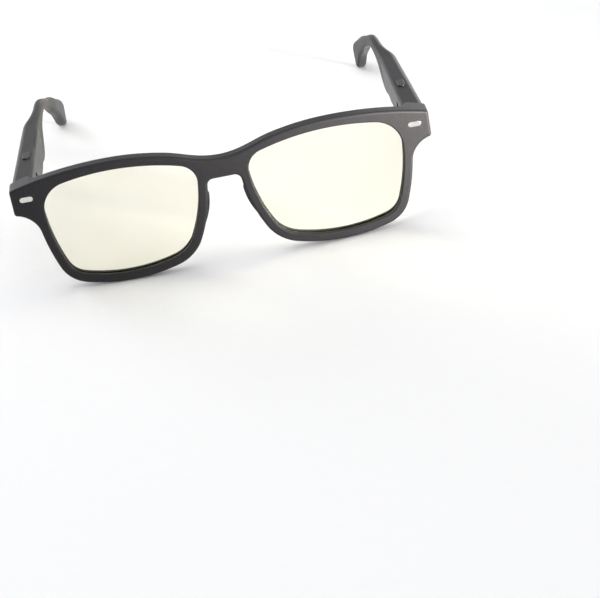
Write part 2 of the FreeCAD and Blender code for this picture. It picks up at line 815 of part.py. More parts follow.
def temple_housing():
    shell = temple_blank()
    pocket = side_panel(cover_start, cover_end, cover_margin, cover_corner)
    key_hole = oval(key_length + 2 * key_side_gap, key_width + 2 * key_side_gap,
                    -cover_margin - cover_ledge - 1, 2)
    outlet = oval(outlet_length - 2 * outlet_lip, outlet_width - 2 * outlet_lip, -3, 4)
    outlet_seat = oval(outlet_length, outlet_width, -3, mesh_sunk + mesh_thickness)
    port = Part.makeCylinder(microphone_hole_radius, 4, Vector(0, 0, -1))
    tools = [
        sideways(pocket, inner_x - 1, inner_x + cover_thickness),
        housing_cavity(),
        on_upper_edge(key_hole, key_at),
        on_lower_edge(outlet, outlet_x(), outlet_at(), speaker_bulge),
        on_lower_edge(outlet_seat, outlet_x(), outlet_at(), speaker_bulge),
        on_lower_edge(port, microphone_x(), microphone_at, 0),
        temple_leaf_recess(),
        hinge_axis_shape(hinge_radius + hinge_relief, hinge_foot - hinge_relief,
                         hinge_foot + hinge_height + hinge_relief),
        arm_core(),
    ]
    for distance in leaf_screw_places():
        tools.append(leaf_screw_at(distance))
    for tool in tools:
        shell = shell.cut(tool)
    return shell


def front_cover():
    panel = side_panel(cover_start + cover_gap, cover_end - cover_gap, cover_margin + cover_gap, cover_corner)
    plate = sideways(panel, inner_x, inner_x + cover_thickness)
    plate = plate.common(block(0, cover_split - cover_gap / 2, 0, TALL, inner_x - 1, inner_x + TALL))
    hole = pill(contact_panel_at, contact_panel_level, contact_panel_length, contact_panel_height)
    plate = plate.cut(sideways(hole, inner_x - 1, inner_x + 3))
    return plate.cut(across(status_light_at, contact_panel_level, status_light_radius,
                            inner_x - 1, inner_x + 3))


def rear_cover():
    panel = side_panel(cover_start + cover_gap, cover_end - cover_gap, cover_margin + cover_gap, cover_corner)
    plate = sideways(panel, inner_x, inner_x + cover_thickness)
    return plate.common(block(cover_split + cover_gap / 2, TALL, 0, TALL, inner_x - 1, inner_x + TALL))


def contact_panel_face():
    return inner_x + contact_panel_sunk


def contact_panel_back():
    return contact_panel_face() + contact_panel_thickness


def contact_panel():
    outline = pill(contact_panel_at, contact_panel_level, contact_panel_length - 2 * seat_clearance,
                   contact_panel_height - 2 * seat_clearance)
    panel = sideways(outline, contact_panel_face(), contact_panel_back())
    for place in (-0.5, 0.5):
        panel = panel.cut(across(contact_panel_at + place * contact_spacing, contact_panel_level,
                                 contact_radius, inner_x - 1, inner_x + 4))
    return panel


def charging_contacts():
    pins = []
    for place in (-0.5, 0.5):
        pin = across(contact_panel_at + place * contact_spacing, contact_panel_level,
                     contact_radius, inner_x, inner_x + contact_pin_length)
        rim = [edge for edge in pin.Edges if edge.BoundBox.XMax < inner_x + contact_chamfer]
        pins.append(pin.makeChamfer(contact_chamfer, rim))
    return Part.makeCompound(pins)


def magnets():
    face = contact_panel_back()
    discs = []
    for place in (-0.5, 0.5):
        discs.append(across(contact_panel_at + place * magnet_spacing, contact_panel_level,
                            magnet_radius, face, face + magnet_thickness))
    return Part.makeCompound(discs)


def status_light():
    return across(status_light_at, contact_panel_level, status_light_radius, inner_x, inner_x + cover_thickness)


def board_x():
    return contact_panel_back() + magnet_thickness + board_gap


def circuit_board():
    x = board_x()
    board = block(board_front, board_length, board_foot, board_height, x, x + board_thickness)
    notch = block(key_at - switch_length, 2 * switch_length, board_foot + board_height - notch_depth, TALL,
                  x - 1, x + 2)
    corner = block(0, microphone_at + microphone_length / 2 + inner_play, 0,
                   microphone_foot() + microphone_height + inner_play, x - 1, x + 2)
    board = board.cut(notch).cut(corner)
    chip_x = x + board_thickness
    chip_foot = board_foot + chip_margin
    chip_front = board_front + microphone_length + chip_gap
    sizes = ((radio_length, radio_height), (charger_length, charger_length), (codec_length, codec_length))
    chips = []
    for length, height in sizes:
        chips.append(block(chip_front, length, chip_foot, height, chip_x, chip_x + chip_thickness))
        chip_front += length + chip_gap
    return board.fuse(chips).removeSplitter().Solids[0]


def switch_foot():
    return board_foot + board_height - notch_depth


def key_switch():
    x = key_middle_x() - switch_width / 2
    body = block(key_at - switch_length / 2, switch_length, switch_foot(), switch_height, x, x + switch_width)
    flange_level = top_line(key_at) - cover_margin - cover_ledge - key_play - key_flange_thickness
    plunger_top = flange_level - key_travel - key_play
    base = switch_foot() + switch_height
    plunger = upright(key_middle_x(), hinge_y + key_at, base, plunger_radius, plunger_top - base)
    return body.fuse(plunger).removeSplitter().Solids[0]


def key():
    cap = oval(key_length, key_width, -cover_margin - cover_ledge - key_play, key_proud)
    cap = rounded(cap, key_proud * 0.6, lambda edge: edge.BoundBox.ZMin > key_proud - 0.01)
    flange = oval(key_length + 2 * key_flange, key_width + 2 * key_flange * 0.5,
                  -cover_margin - cover_ledge - key_play - key_flange_thickness,
                  -cover_margin - cover_ledge - key_play)
    return on_upper_edge(cap.fuse(flange).removeSplitter(), key_at)


def speaker_mesh():
    plate = oval(outlet_length - 2 * seat_clearance, outlet_width - 2 * seat_clearance,
                 mesh_sunk, mesh_sunk + mesh_thickness)
    return on_lower_edge(plate, outlet_x(), outlet_at(), speaker_bulge)


def speaker():
    x = inner_x + cover_thickness + inner_play
    outline = pill(speaker_end - speaker_length / 2, speaker_foot + speaker_height / 2,
                   speaker_length, speaker_height)
    return sideways(outline, x, x + speaker_thickness)


def battery():
    x = inner_x + cover_thickness + inner_play
    cell = block(battery_front, battery_length, battery_foot, battery_height, x, x + battery_thickness)
    return rounded(cell, battery_rounding, lambda edge: edge.BoundBox.YLength > battery_length / 2)


def microphone_foot():
    return foot_line(microphone_at) + cover_margin + cover_ledge + inner_play


def microphone_x():
    return contact_panel_back() + inner_play + microphone_length / 2


def microphone():
    x = microphone_x() - microphone_length / 2
    return block(microphone_at - microphone_length / 2, microphone_length, microphone_foot(), microphone_height,
                 x, x + microphone_length)


def flex_cable():
    x = inner_x + cover_thickness + inner_play + battery_thickness
    middle = battery_foot + battery_height / 2
    return block(battery_front - flex_overhang, battery_length + 2 * flex_overhang, middle - flex_height / 2,
                 flex_height, x, x + flex_thickness)


# ---------------------------------------------------------------- hinge
def outer_knuckle():
    return (hinge_height - hinge_middle - 2 * hinge_play) / 2


def hinge_bore(radius):
    return hinge_axis_shape(radius, hinge_foot - 1, hinge_foot + hinge_height + 1)


def frame_hinge():
    knuckle = outer_knuckle()
    top = hinge_foot + hinge_height
    room = hinge_axis_shape(hinge_radius + hinge_relief, hinge_foot + knuckle, top - knuckle)
    leaf = frame_leaf_box().cut(room)
    lower = hinge_axis_shape(hinge_radius, hinge_foot, hinge_foot + knuckle)
    upper = hinge_axis_shape(hinge_radius, top - knuckle, top)
    body = leaf.fuse([lower, upper]).removeSplitter()
    body = body.cut(hinge_bore(hinge_screw_radius + seat_clearance / 2))
    return body.cut(hinge_axis_shape(hinge_screw_head + seat_clearance, top - hinge_screw_head_height, top + 1))


def temple_hinge():
    knuckle = outer_knuckle()
    foot = hinge_foot + knuckle + hinge_play
    top = foot + hinge_middle
    leaf = temple_leaf_recess().common(block(0, temple_leaf_length, 0, TALL, inner_x, inner_x + TALL))
    lower_room = hinge_axis_shape(hinge_radius + hinge_relief, hinge_foot - 1, foot)
    upper_room = hinge_axis_shape(hinge_radius + hinge_relief, top, hinge_foot + hinge_height + 1)
    barrel = hinge_axis_shape(hinge_radius, foot, top)
    body = leaf.cut(lower_room).cut(upper_room).fuse(barrel).removeSplitter()
    body = body.cut(hinge_bore(hinge_screw_radius + hinge_running_fit))
    for distance in leaf_screw_places():
        body = body.cut(leaf_screw_at(distance))
    return body


def hinge_screw():
    top = hinge_foot + hinge_height
    shank = hinge_axis_shape(hinge_screw_radius, hinge_foot, top - hinge_screw_head_height)
    head = hinge_axis_shape(hinge_screw_head, top - hinge_screw_head_height, top)
    slot = box(hinge_x - 2, hinge_x + 2, hinge_y - hinge_screw_slot / 2, hinge_y + hinge_screw_slot / 2,
               top - hinge_screw_slot, top + 1)
    return shank.fuse(head).removeSplitter().cut(slot)


def leaf_screw_places():
    return [temple_leaf_length * share for share in leaf_screw_shares]


def leaf_screw_at(distance):
    level = hinge_foot + hinge_height / 2
    head = across(distance, level, leaf_screw_head, inner_x, inner_x + leaf_thickness / 2)
    shank = across(distance, level, leaf_screw_radius, inner_x, inner_x + leaf_screw_length)
    return head.fuse(shank).removeSplitter()


def leaf_screws():
    return Part.makeCompound([leaf_screw_at(distance) for distance in leaf_screw_places()])


# ---------------------------------------------------------------- the assembly
def first_solid(shape):
    return shape.Solids[0] if len(shape.Solids) == 1 else shape


def build_assembly():
    one_side = {
        "lens": lens(),
        "pin_plate": pin_plate(),
        "frame_hinge": frame_hinge(),
        "hinge_screw": hinge_screw(),
        "temple_housing": temple_housing(),
        "temple_hinge": temple_hinge(),
        "hinge_leaf_screws": leaf_screws(),
        "arm_core": arm_core(),
        "front_cover": front_cover(),
        "rear_cover": rear_cover(),
        "contact_panel": contact_panel(),
        "charging_contacts": charging_contacts(),
        "magnets": magnets(),
        "status_light": status_light(),
        "circuit_board": circuit_board(),
        "battery": battery(),
        "flex_cable": flex_cable(),
        "speaker": speaker(),
        "speaker_mesh": speaker_mesh(),
        "microphone": microphone(),
        "key": key(),
        "key_switch": key_switch(),
    }
    pieces = {"front_frame": first_solid(front_frame())}
    for name, shape in one_side.items():
        pieces["left_" + name] = first_solid(shape)
        pieces["right_" + name] = first_solid(mirrored(shape))
    return pieces


def leaning_angle(frame, temple):
    """Angle at which the ear tips come down to the level of the rims."""
    angle = 0.0
    for _ in range(leaning_tries):
        lows = []
        for shape in (frame, temple):
            leaned = shape.copy()
            leaned.rotate(Vector(0, 0, 0), Vector(1, 0, 0), -angle)
            lows.append(leaned.optimalBoundingBox(True, False).ZMin)
        angle += math.degrees((lows[1] - lows[0]) / (ear_tip_at + hinge_y))
    return angle


def stand_on_table(pieces):
    angle = leaning_angle(pieces["front_frame"], pieces["left_temple_housing"])
    for shape in pieces.values():
        shape.rotate(Vector(0, 0, 0), Vector(1, 0, 0), -angle)
    outer = pieces["front_frame"].optimalBoundingBox(True, False)
    temple = pieces["left_temple_housing"].optimalBoundingBox(True, False)
    move = Vector(0, -(outer.YMin + temple.YMax) / 2, -outer.ZMin)
    for shape in pieces.values():
        shape.translate(move)
    return angle, move


assembly = build_assembly()
lean, shift = stand_on_table(assembly)
for node, solid in assembly.items():
    solid.exportStep("parts/" + node + ".step")
print("lean", lean, "shift", shift)
print("hinge axis through", hinge_x, hinge_y)
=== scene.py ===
from math import atan2, cos, pi, radians, sin, sqrt

import bmesh
import bpy
from mathutils import Matrix, Vector


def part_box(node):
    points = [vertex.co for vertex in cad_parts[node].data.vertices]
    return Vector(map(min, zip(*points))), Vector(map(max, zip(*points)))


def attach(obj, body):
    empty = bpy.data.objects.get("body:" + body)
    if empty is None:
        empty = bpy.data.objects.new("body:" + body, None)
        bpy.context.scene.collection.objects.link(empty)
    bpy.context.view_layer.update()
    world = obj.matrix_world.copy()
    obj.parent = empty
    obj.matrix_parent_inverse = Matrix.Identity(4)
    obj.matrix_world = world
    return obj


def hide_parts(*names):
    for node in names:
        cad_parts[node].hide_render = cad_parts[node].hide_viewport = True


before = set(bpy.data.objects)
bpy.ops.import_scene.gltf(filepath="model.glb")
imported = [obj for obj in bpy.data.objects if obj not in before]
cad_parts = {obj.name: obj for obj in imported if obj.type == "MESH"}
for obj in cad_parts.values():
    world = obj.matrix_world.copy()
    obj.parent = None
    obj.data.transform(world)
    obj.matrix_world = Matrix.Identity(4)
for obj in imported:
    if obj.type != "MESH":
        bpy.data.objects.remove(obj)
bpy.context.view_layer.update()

# ---------------------------------------------------------------------------
# Front frame: the rims, bridge, end pieces and nose pads, one injection
# moulding in charcoal nylon. It is sprayed with a matt soft-touch paint, so it
# has a fine powdery grain and a faint bloom. Its edges are painted paler, partly
# as wear from use and partly as a painted highlight.
# ---------------------------------------------------------------------------


def start_finish(name, **values):
    """A new finish with plain shader values. A space in a socket's name is written as _ here."""
    finish = bpy.data.materials.new(name)
    finish.use_nodes = True
    shader = finish.node_tree.nodes["Principled BSDF"]
    for socket, value in values.items():
        shader.inputs[socket.replace("_", " ")].default_value = value
    return finish, shader


def add_step(finish, kind, inputs=None, **settings):
    """One texture or maths step of a finish. Each input is a plain value or an earlier step's output."""
    step = finish.node_tree.nodes.new("ShaderNode" + kind)
    for name, value in settings.items():
        setattr(step, name, value)
    for socket, value in (inputs or {}).items():
        join(finish, value, step.inputs[socket])
    return step


def join(finish, value, socket):
    """Feeds a socket: links an output to it, or sets its plain value."""
    if isinstance(value, bpy.types.NodeSocket):
        finish.node_tree.links.new(value, socket)
    else:
        socket.default_value = value


def place(finish):
    """Where a point of the piece is, in metres, in the frame that the whole pair of glasses is drawn in."""
    return add_step(finish, "TexCoord").outputs["Object"]


def speckle(finish, size, detail=2.0, where=None):
    """A soft random pattern from 0 to 1, with lumps of about this size in metres."""
    settings = {"Vector": where or place(finish), "Scale": 0.5 / size, "Detail": detail, "Roughness": 0.55}
    return add_step(finish, "TexNoise", settings).outputs["Fac"]


def between(finish, factor, low, high, start=0.3, stop=0.7):
    """Turns a pattern's middle range, from start to stop, into values from low to high."""
    settings = {"Value": factor, "From Min": start, "From Max": stop, "To Min": low, "To Max": high}
    return add_step(finish, "MapRange", settings).outputs["Result"]


def mixed(finish, factor, first, second):
    """Two colours mixed by a factor. The numbers are the mixing step's own sockets for colours."""
    step = add_step(finish, "Mix", data_type="RGBA")
    for socket, value in ((0, factor), (6, first), (7, second)):
        join(finish, value, step.inputs[socket])
    return step.outputs[2]


def raised(finish, pattern, height, strength, over=None):
    """A surface raised by a pattern, up to a height in metres, over an earlier relief where there is one."""
    inputs = {"Strength": strength, "Distance": height, "Height": pattern}
    if over:
        inputs["Normal"] = over
    return add_step(finish, "Bump", inputs).outputs["Normal"]


def edge_mask(finish, reach, start, stop):
    """From 0 on flats to 1 on edges, where a corner rounded to this reach turns away from the face."""
    rounded = add_step(finish, "Bevel", {"Radius": reach}, samples=6).outputs["Normal"]
    face = add_step(finish, "NewGeometry").outputs["Normal"]
    turn = add_step(finish, "VectorMath", {0: rounded, 1: face}, operation="DOT_PRODUCT").outputs["Value"]
    return between(finish, turn, 0.0, 1.0, start, stop)


def give(node, finish):
    """Puts a finish on every material slot of a part carried over from the frame."""
    for material_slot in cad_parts[node].material_slots:
        material_slot.material = finish


drift_size = 0.009           # clouds of slightly different tone, from the flow of the moulding
dust_size = 0.00034          # coarser grains of the paint's matting powder
powder_size = 0.00010        # its finest grains
fleck_gain = 2.1             # how much paler a grain is than the paint
pale_edge_reach = 0.00035       # how far from an edge the paint is painted paler, as wear and as a painted highlight
pale_edge_smoothing = 0.10      # how much less rough it is there


def soft_touch(name, dark, pale, edge, grain, roughness, sheen):
    """Matt moulded or painted nylon with drifting tone, a fine powdery grain, and edges painted paler, partly
    as rubbed wear and partly as a painted highlight.
    """
    finish, shader = start_finish(name, Specular_IOR_Level=0.24, Sheen_Weight=sheen, Sheen_Roughness=0.45,
                                  Sheen_Tint=(0.92, 0.93, 1.0, 1.0))
    where = place(finish)
    drift = speckle(finish, drift_size, 3.0, where)
    dust = speckle(finish, dust_size, 2.0, where)
    powder = speckle(finish, powder_size, 1.0, where)
    fleck = tuple(channel * fleck_gain for channel in pale)
    tone = mixed(finish, between(finish, drift, 0.2, 0.8), (*dark, 1.0), (*pale, 1.0))
    tone = mixed(finish, between(finish, dust, 0.0, 0.40, 0.34, 0.74), tone, (*fleck, 1.0))
    tone = mixed(finish, between(finish, powder, 0.0, 0.75, 0.50, 0.72), tone, (*fleck, 1.0))
    # Edges are painted paler here: partly rubbed wear, partly a painted highlight along them.
    pale_edge = edge_mask(finish, pale_edge_reach, 0.985, 0.80)
    tone = mixed(finish, pale_edge, tone, (*edge, 1.0))
    join(finish, tone, shader.inputs["Base Color"])
    matt = between(finish, powder, roughness - 0.07, roughness + 0.08)
    smoothed = add_step(finish, "Math", {0: pale_edge, 1: -pale_edge_smoothing, 2: matt}, operation="MULTIPLY_ADD")
    join(finish, smoothed.outputs[0], shader.inputs["Roughness"])
    coarse = raised(finish, dust, grain, 0.14)
    join(finish, raised(finish, powder, grain * 0.55, 0.50, coarse), shader.inputs["Normal"])
    return finish


front_paint = soft_touch("charcoal soft touch front", dark=(0.0046, 0.0044, 0.0054),
                         pale=(0.0088, 0.0084, 0.0096), edge=(0.045, 0.044, 0.046),
                         grain=0.00006, roughness=0.51, sheen=0.05)
give("front_frame", front_paint)

# ---------------------------------------------------------------------------
# Lenses: cut from cast resin about 2 mm thick, with a faint warm tint that
# takes out blue light. Both faces have an anti-reflection coat whose leftover
# reflection is green, and the rim of the blank sits in the frame's groove.
# ---------------------------------------------------------------------------

SIDES = ("left", "right")    # the wearer's

lens_tint = (0.95, 0.93, 0.81, 1.0)
lens_tint_thin = (0.96, 0.945, 0.84, 1.0)
coat_green = (0.045, 0.14, 0.06, 1.0)
smear_size = 0.007           # faint patches of wiped grease


def coated_resin(name):
    """Clear tinted resin with a green coat. Lamps shine through it, so its shadow is only a tint."""
    finish, shader = start_finish(name, IOR=1.5, Transmission_Weight=1.0, Specular_Tint=coat_green)
    smear = speckle(finish, smear_size, 3.0)
    tint = mixed(finish, between(finish, smear, 0.0, 1.0), lens_tint, lens_tint_thin)
    join(finish, tint, shader.inputs["Base Color"])
    join(finish, between(finish, smear, 0.0, 0.02, 0.5, 0.8), shader.inputs["Roughness"])
    lamps = add_step(finish, "LightPath").outputs["Is Shadow Ray"]
    clear = add_step(finish, "BsdfTransparent", {"Color": lens_tint}).outputs[0]
    choice = add_step(finish, "MixShader", {0: lamps, 1: shader.outputs[0], 2: clear})
    join(finish, choice.outputs[0], finish.node_tree.nodes["Material Output"].inputs["Surface"])
    return finish


lens_resin = coated_resin("tinted coated resin")
for side in SIDES:
    give(f"{side}_lens", lens_resin)

# ---------------------------------------------------------------------------
# Pin plates: the small bright bars set flush in each end piece, stamped from
# nickel silver and brushed along their length.
# ---------------------------------------------------------------------------

scratch_stretch = (0.06, 1.0, 1.0)     # draws the scratches out along x
tarnish_size = 0.002                   # patches of slightly duller metal


def dulled(colour, share):
    """A colour brought down to a share of itself, or up where the share is over 1, and never past white."""
    return tuple(min(1.0, channel * share) for channel in colour) + (1.0,)


def brushed_metal(name, colour, roughness, scratch_width, scratch_depth):
    """Metal brushed along x: long fine scratches and a slight drift of tone."""
    finish, shader = start_finish(name, Metallic=1.0)
    where = place(finish)
    stretched = add_step(finish, "Mapping", {"Vector": where, "Scale": scratch_stretch}).outputs[0]
    scratch = speckle(finish, scratch_width, 4.0, stretched)
    tarnish = speckle(finish, tarnish_size, 2.0, where)
    tone = mixed(finish, between(finish, tarnish, 0.0, 1.0), dulled(colour, 0.86), (*colour, 1.0))
    join(finish, tone, shader.inputs["Base Color"])
    join(finish, between(finish, scratch, roughness * 0.75, roughness * 1.3), shader.inputs["Roughness"])
    join(finish, raised(finish, scratch, scratch_depth, 0.3), shader.inputs["Normal"])
    return finish


plate_silver = brushed_metal("brushed nickel silver", (0.74, 0.73, 0.70), roughness=0.24,
                             scratch_width=0.00008, scratch_depth=0.00002)
for side in SIDES:
    give(f"{side}_pin_plate", plate_silver)

# ---------------------------------------------------------------------------
# Hinges: a leaf moulded into the end piece and one screwed to the temple, both
# sintered steel with a dark plating, joined by one slotted screw. Two small
# screws hold the temple's leaf.
# ---------------------------------------------------------------------------


stain_size = 0.0012
polished_reach = 0.0002                # how far from an edge the plating is polished


def pitted_metal(name, colour, roughness, pit_size):
    """Plated or turned metal with a fine pitted skin, slightly stained, and polished on its edges."""
    finish, shader = start_finish(name, Metallic=1.0)
    where = place(finish)
    pits = speckle(finish, pit_size, 3.0, where)
    stain = speckle(finish, stain_size, 3.0, where)
    polished = edge_mask(finish, polished_reach, 0.99, 0.85)
    tone = mixed(finish, between(finish, stain, 0.0, 1.0), dulled(colour, 0.72), (*colour, 1.0))
    tone = mixed(finish, polished, tone, dulled(colour, 1.35))
    join(finish, tone, shader.inputs["Base Color"])
    join(finish, between(finish, pits, roughness * 0.8, roughness * 1.25), shader.inputs["Roughness"])
    join(finish, raised(finish, pits, pit_size * 0.2, 0.25), shader.inputs["Normal"])
    return finish


hinge_steel = pitted_metal("dark plated hinge steel", (0.12, 0.117, 0.114), roughness=0.38, pit_size=0.00012)
screw_steel = pitted_metal("satin screw steel", (0.42, 0.41, 0.40), roughness=0.28, pit_size=0.00008)

head_radius = 0.00085
head_depth = 0.00045
head_chamfer = 0.00009
head_chamfer_start = 0.00003           # the chamfer is in two steps, so the head's edge looks rounded
shank_radius = 0.0005
shank_tip = 0.4                        # share of the shank's radius at its end
thread_root = 0.78                     # and between its thread's ridges
neck_share = 0.8                       # and under the head
screw_length = 0.0024
thread_ridges = 6
tip_length = 0.0003
neck_length = 0.0001
recess_arm = 0.00055
recess_width = 0.00020
recess_depth = 0.00028
recess_taper = 0.8                     # share of the recess's size at its floor
screw_sides = 32
screw_turns = (0.35, 1.05)             # radians by which each screw's cross was left turned


def fall_of(node):
    """The angle by which a part's length falls towards the ear tip, from its own points."""
    points = [vertex.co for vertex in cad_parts[node].data.vertices]
    middle = sum(point.y for point in points) / len(points)
    ahead = [point for point in points if point.y < middle]
    behind = [point for point in points if point.y >= middle]
    drop = sum(point.z for point in behind) / len(behind) - sum(point.z for point in ahead) / len(ahead)
    run = sum(point.y for point in behind) / len(behind) - sum(point.y for point in ahead) / len(ahead)
    return atan2(drop, run)


def on_face(node):
    """Placing on a part's face towards the head: x runs along the part, and z stands out of the face."""
    low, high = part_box(node)
    inward = -1.0 if low.x > 0 else 1.0
    face = low.x if low.x > 0 else high.x
    fall = fall_of(node)
    along = Vector((0.0, cos(fall), sin(fall)))
    out = Vector((inward, 0.0, 0.0))
    axes = Matrix((along, out.cross(along), out)).transposed().to_4x4()
    return Matrix.Translation((face, (low.y + high.y) / 2, (low.z + high.z) / 2)) @ axes


def revolved(work, profile, sides):
    """Makes rings of points about the local z axis, one for each (radius, height) of a profile."""
    rings = []
    turns = [2 * pi * step / sides for step in range(sides)]
    for radius, height in profile:
        rings.append([work.verts.new((radius * cos(turn), radius * sin(turn), height)) for turn in turns])
    for lower, upper in zip(rings, rings[1:]):
        for step in range(sides):
            after = (step + 1) % sides
            work.faces.new((lower[step], lower[after], upper[after], upper[step]))
    return rings


def flat_screw(work, placing):
    """A flat-headed screw, head up at the local origin, with a ridged shank and a cross recess."""
    screw = bmesh.new()
    profile = [(shank_radius * shank_tip, -screw_length)]
    ridge = (screw_length - head_depth - tip_length - neck_length) / thread_ridges
    for count in range(thread_ridges):
        foot = -screw_length + tip_length + count * ridge
        profile += [(shank_radius * thread_root, foot), (shank_radius, foot + ridge * 0.5)]
    profile += [(shank_radius * neck_share, -head_depth), (head_radius, -head_depth),
                (head_radius, -head_chamfer), (head_radius - head_chamfer_start, -head_chamfer_start),
                (head_radius - head_chamfer, 0.0)]
    rings = revolved(screw, profile, screw_sides)
    screw.faces.new(list(reversed(rings[0])))
    half = recess_width / 2
    arm = recess_arm
    cross = [(arm, -half), (arm, half), (half, half), (half, arm), (-half, arm), (-half, half),
             (-arm, half), (-arm, -half), (-half, -half), (-half, -arm), (half, -arm), (half, -half)]
    rim = [screw.verts.new((x, y, 0.0)) for x, y in cross]
    pit = [screw.verts.new((x * recess_taper, y * recess_taper, -recess_depth)) for x, y in cross]
    rim_edges = [screw.edges.new((rim[step], rim[step - 1])) for step in range(len(rim))]
    for step in range(len(rim)):
        screw.faces.new((rim[step - 1], rim[step], pit[step], pit[step - 1]))
    screw.faces.new(pit)
    head_edges = [screw.edges.get((rings[-1][step - 1], rings[-1][step])) for step in range(screw_sides)]
    bmesh.ops.triangle_fill(screw, use_beauty=True, use_dissolve=False, edges=head_edges + rim_edges)
    bmesh.ops.recalc_face_normals(screw, faces=screw.faces)
    bmesh.ops.transform(screw, matrix=placing, verts=screw.verts)
    finished = bpy.data.meshes.new("screw")
    screw.to_mesh(finished)
    screw.free()
    work.from_mesh(finished)
    bpy.data.meshes.remove(finished)


def new_piece(name, work, finish, body, smooth=True):
    """Turns worked points and faces into a finished piece that moves with a body."""
    bmesh.ops.recalc_face_normals(work, faces=work.faces)
    for face in work.faces:
        face.smooth = smooth
    piece_mesh = bpy.data.meshes.new(name)
    work.to_mesh(piece_mesh)
    work.free()
    piece_mesh.materials.append(finish)
    piece = bpy.data.objects.new(name, piece_mesh)
    bpy.context.scene.collection.objects.link(piece)
    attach(piece, body)
    return piece


for side in SIDES:
    give(f"{side}_frame_hinge", hinge_steel)
    give(f"{side}_temple_hinge", hinge_steel)
    give(f"{side}_hinge_screw", screw_steel)
    plain_pair = f"{side}_hinge_leaf_screws"
    low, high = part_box(plain_pair)
    half_spacing = (high.y - low.y - 2 * head_radius) / 2 / cos(fall_of(plain_pair))
    pair = bmesh.new()
    for way, turn in zip((-1.0, 1.0), screw_turns):
        shifted = Matrix.Translation((way * half_spacing, 0.0, 0.0))
        flat_screw(pair, on_face(plain_pair) @ shifted @ Matrix.Rotation(turn, 4, "Z"))
    screws = new_piece(f"{side}_leaf_screw_pair", pair, screw_steel, f"{side}_temple",
                       smooth=False)
    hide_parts(plain_pair)

# ---------------------------------------------------------------------------
# Temple housings: hollow mouldings that hold the electronics and run on into
# the slim arm and the ear tip. They are of the same nylon and paint as the
# front, only a shade warmer.
# ---------------------------------------------------------------------------

temple_paint = soft_touch("charcoal soft touch temple", dark=(0.0046, 0.0045, 0.0050),
                          pale=(0.0086, 0.0084, 0.0090), edge=(0.04, 0.039, 0.040),
                          grain=0.00006, roughness=0.51, sheen=0.05)
core_steel = brushed_metal("spring steel core", (0.60, 0.60, 0.61), roughness=0.3,
                           scratch_width=0.00010, scratch_depth=0.00002)
for side in SIDES:
    give(f"{side}_temple_housing", temple_paint)
    give(f"{side}_arm_core", core_steel)

# ---------------------------------------------------------------------------
# Inner covers: two thin moulded plates that snap into each housing's inner
# side, one over the board and one over the speaker, with an as-moulded satin
# face that has not been painted. Their tone is set darker than the housing's,
# partly for that bare plastic and partly as painted shade for the shadow they
# lie in behind the front.
# ---------------------------------------------------------------------------

# Darker than the housing's paint: partly the bare plastic, partly painted shade for the shadow behind the
# front.
cover_skin_with_painted_shade = soft_touch("satin cover plastic with painted shade", dark=(0.0022, 0.0022, 0.0023),
                        pale=(0.0040, 0.0039, 0.0041), edge=(0.012, 0.012, 0.0125),
                        grain=0.00003, roughness=0.38, sheen=0.0)
for side in SIDES:
    give(f"{side}_front_cover", cover_skin_with_painted_shade)
    give(f"{side}_rear_cover", cover_skin_with_painted_shade)

# ---------------------------------------------------------------------------
# Charging face: a glossier pill-shaped insert behind each hinge with two gold
# plated spring pins, and two magnets behind it that pull the cable's head on.
# A bead of near-black rubber pressed round the insert is a painted shadow: it draws the dark line of the
# recess round the insert.
# ---------------------------------------------------------------------------

panel_skin = soft_touch("dark panel plastic", dark=(0.0060, 0.0060, 0.0065),
                        pale=(0.0090, 0.0090, 0.0096), edge=(0.035, 0.035, 0.036),
                        grain=0.00001, roughness=0.30, sheen=0.0)
contact_gold = pitted_metal("gold plate", (0.93, 0.64, 0.24), roughness=0.20, pit_size=0.00006)
magnet_nickel = pitted_metal("nickel plated magnet", (0.62, 0.61, 0.58), roughness=0.22, pit_size=0.00010)

# Near-black rubber for the bead: a painted shadow line round the recessed insert.
shadow_bead_dark = (0.0010, 0.0010, 0.0010, 1.0)
shadow_bead_pale = (0.0024, 0.0024, 0.0025, 1.0)
bloom_size = 0.0003
shadow_bead_rubber, shadow_bead_shader = start_finish("black rubber shadow bead", Specular_IOR_Level=0.12)
shadow_bead_bloom = speckle(shadow_bead_rubber, bloom_size, 3.0)
shadow_bead_tone = mixed(shadow_bead_rubber, shadow_bead_bloom, shadow_bead_dark, shadow_bead_pale)
join(shadow_bead_rubber, shadow_bead_tone, shadow_bead_shader.inputs["Base Color"])
join(shadow_bead_rubber, between(shadow_bead_rubber, shadow_bead_bloom, 0.55, 0.72), shadow_bead_shader.inputs["Roughness"])

shadow_bead_width = 0.00062
shadow_bead_height = 0.00024
shadow_bead_inset = 0.00003                   # from the insert's edge
arc_steps = 16                         # round each end of a pill shape
bead_steps = 8                         # over the bead's half round


def pill_bead(work, straight, radius, section, placing):
    """A closed bead round a pill shape. Each section point is (outwards from the line, up from the face)."""
    rings = []
    for end in (1.0, -1.0):
        for step in range(arc_steps + 1):
            turn = pi * step / arc_steps - pi / 2
            outwards = Vector((cos(turn) * end, sin(turn) * end, 0.0))
            point = Vector((end * straight / 2, 0.0, 0.0)) + outwards * radius
            rings.append([work.verts.new(placing @ (point + outwards * out + Vector((0.0, 0.0, up))))
                          for out, up in section])
    for number in range(len(rings)):
        near, far = rings[number - 1], rings[number]
        for step in range(len(section)):
            work.faces.new((near[step - 1], near[step], far[step], far[step - 1]))


